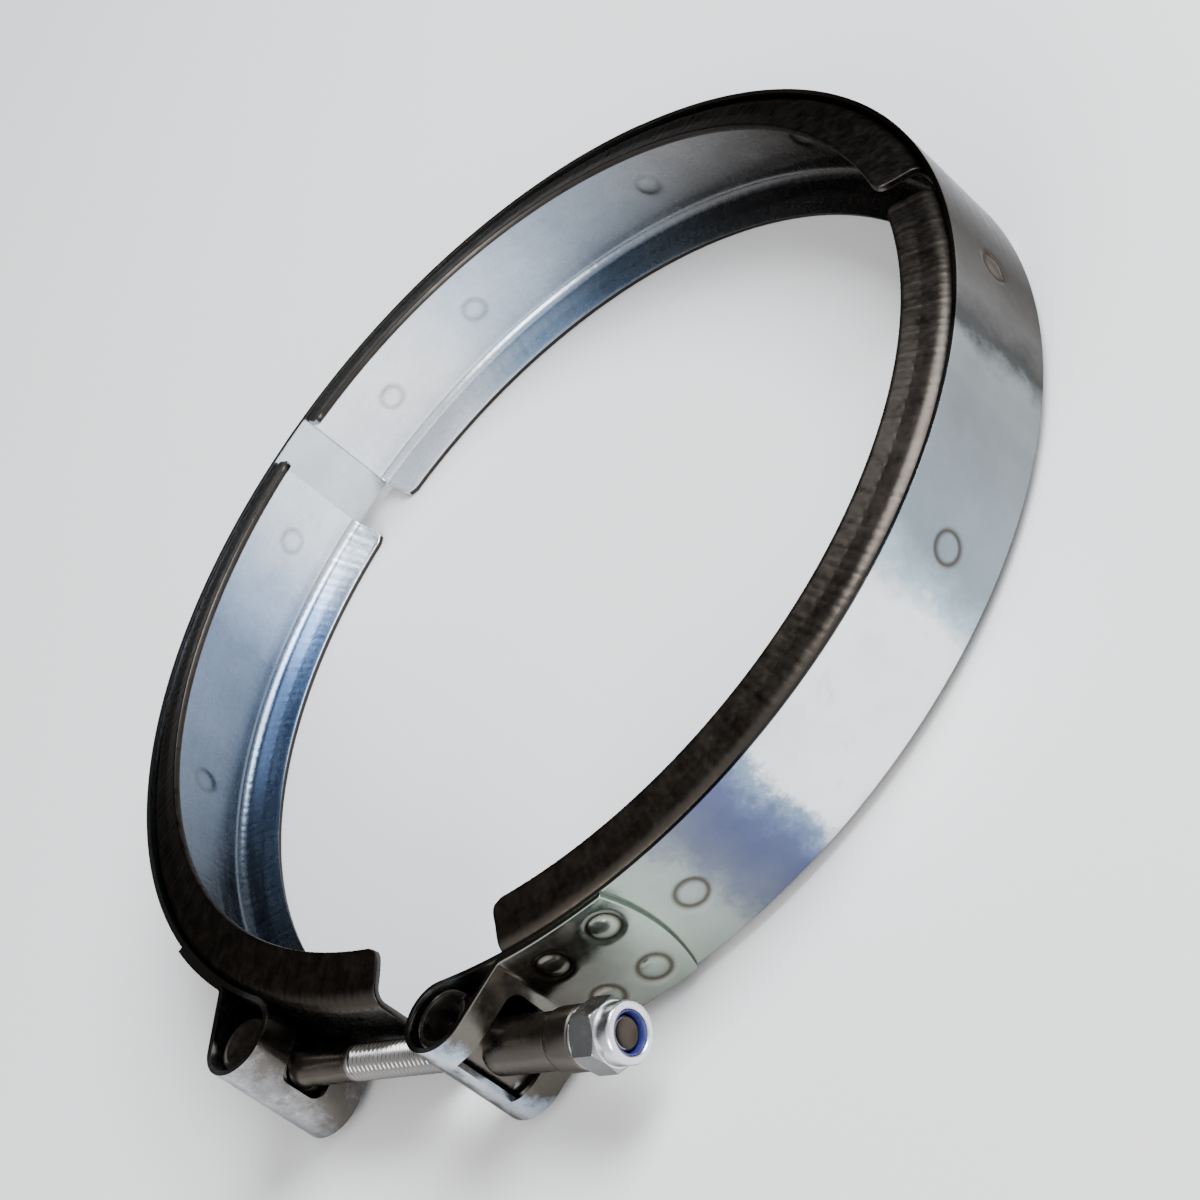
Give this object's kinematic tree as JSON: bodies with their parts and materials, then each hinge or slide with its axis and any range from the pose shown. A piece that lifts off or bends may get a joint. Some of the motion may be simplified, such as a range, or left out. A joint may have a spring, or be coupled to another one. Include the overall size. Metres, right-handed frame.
{
  "type": "v-band pipe clamp",
  "caption": "Round V-band pipe clamp: spring band with V-section retainer segments, drawn together by a T-bolt, a trunnion and a self-locking nut.",
  "frame": {"origin": "centre of the ring, on its axis, midway between the two rims", "axes": "+Z along the ring's axis, +X along the T-bolt from its head to its nut, and the bolt lies beyond the ring at -Y"},
  "size_m": [0.18, 0.1893, 0.0264],
  "materials": {
    "band_steel": "satin",
    "retainer_steel": "satin",
    "bolt_steel": "bright",
    "trunnion_steel": "satin",
    "nut_steel": "satin",
    "nylon": "matte"
  },
  "bodies": {
    "top_segment": {"band_top": "band_steel", "retainer_top": "retainer_steel", "flex_strip_left": "band_steel", "flex_strip_right": "band_steel"},
    "left_segment": {"band_left": "band_steel", "retainer_left": "retainer_steel"},
    "right_segment": {"band_right": "band_steel", "retainer_right": "retainer_steel"},
    "t_bolt": {"t_bolt": "bolt_steel"},
    "trunnion": {"trunnion": "trunnion_steel"},
    "nut": {"nut": "nut_steel", "nylon_ring": "nylon"}
  },
  "joints": [
    {"name": "band_flex_left", "type": "hinge", "parent": "top_segment", "child": "left_segment", "pos_m": [-0.08109, 0.03799, 0], "axis": [0, 0, -1], "range_deg": [-2, 1], "deforming": ["flex_strip_left"]},
    {"name": "band_flex_right", "type": "hinge", "parent": "top_segment", "child": "right_segment", "pos_m": [0.07254, 0.05251, 0], "axis": [0, 0, 1], "range_deg": [-2.12, 1.06], "deforming": ["flex_strip_right"]},
    {"name": "t_bolt_pivot", "type": "hinge", "parent": "left_segment", "child": "t_bolt", "pos_m": [-0.0269, -0.0928, 0], "axis": [0, 0, 1], "range_deg": [-2, 1]},
    {"name": "trunnion_pivot", "type": "hinge", "parent": "right_segment", "child": "trunnion", "pos_m": [0.0212, -0.0928, 0], "axis": [0, 0, -1], "range_deg": [-2.12, 1.06]},
    {"name": "nut_spin", "type": "hinge", "parent": "trunnion", "child": "nut", "pos_m": [0.0467, -0.0928, 0], "axis": [1, 0, 0], "range_deg": [-3580, 1790]}
  ],
  "couplings": [
    {"joint": "band_flex_right", "follows": "band_flex_left", "ratio": 1.0556},
    {"joint": "t_bolt_pivot", "follows": "band_flex_left", "ratio": 1},
    {"joint": "trunnion_pivot", "follows": "band_flex_left", "ratio": 1.0556},
    {"joint": "nut_spin", "follows": "band_flex_left", "ratio": 1785.5}
  ]
}
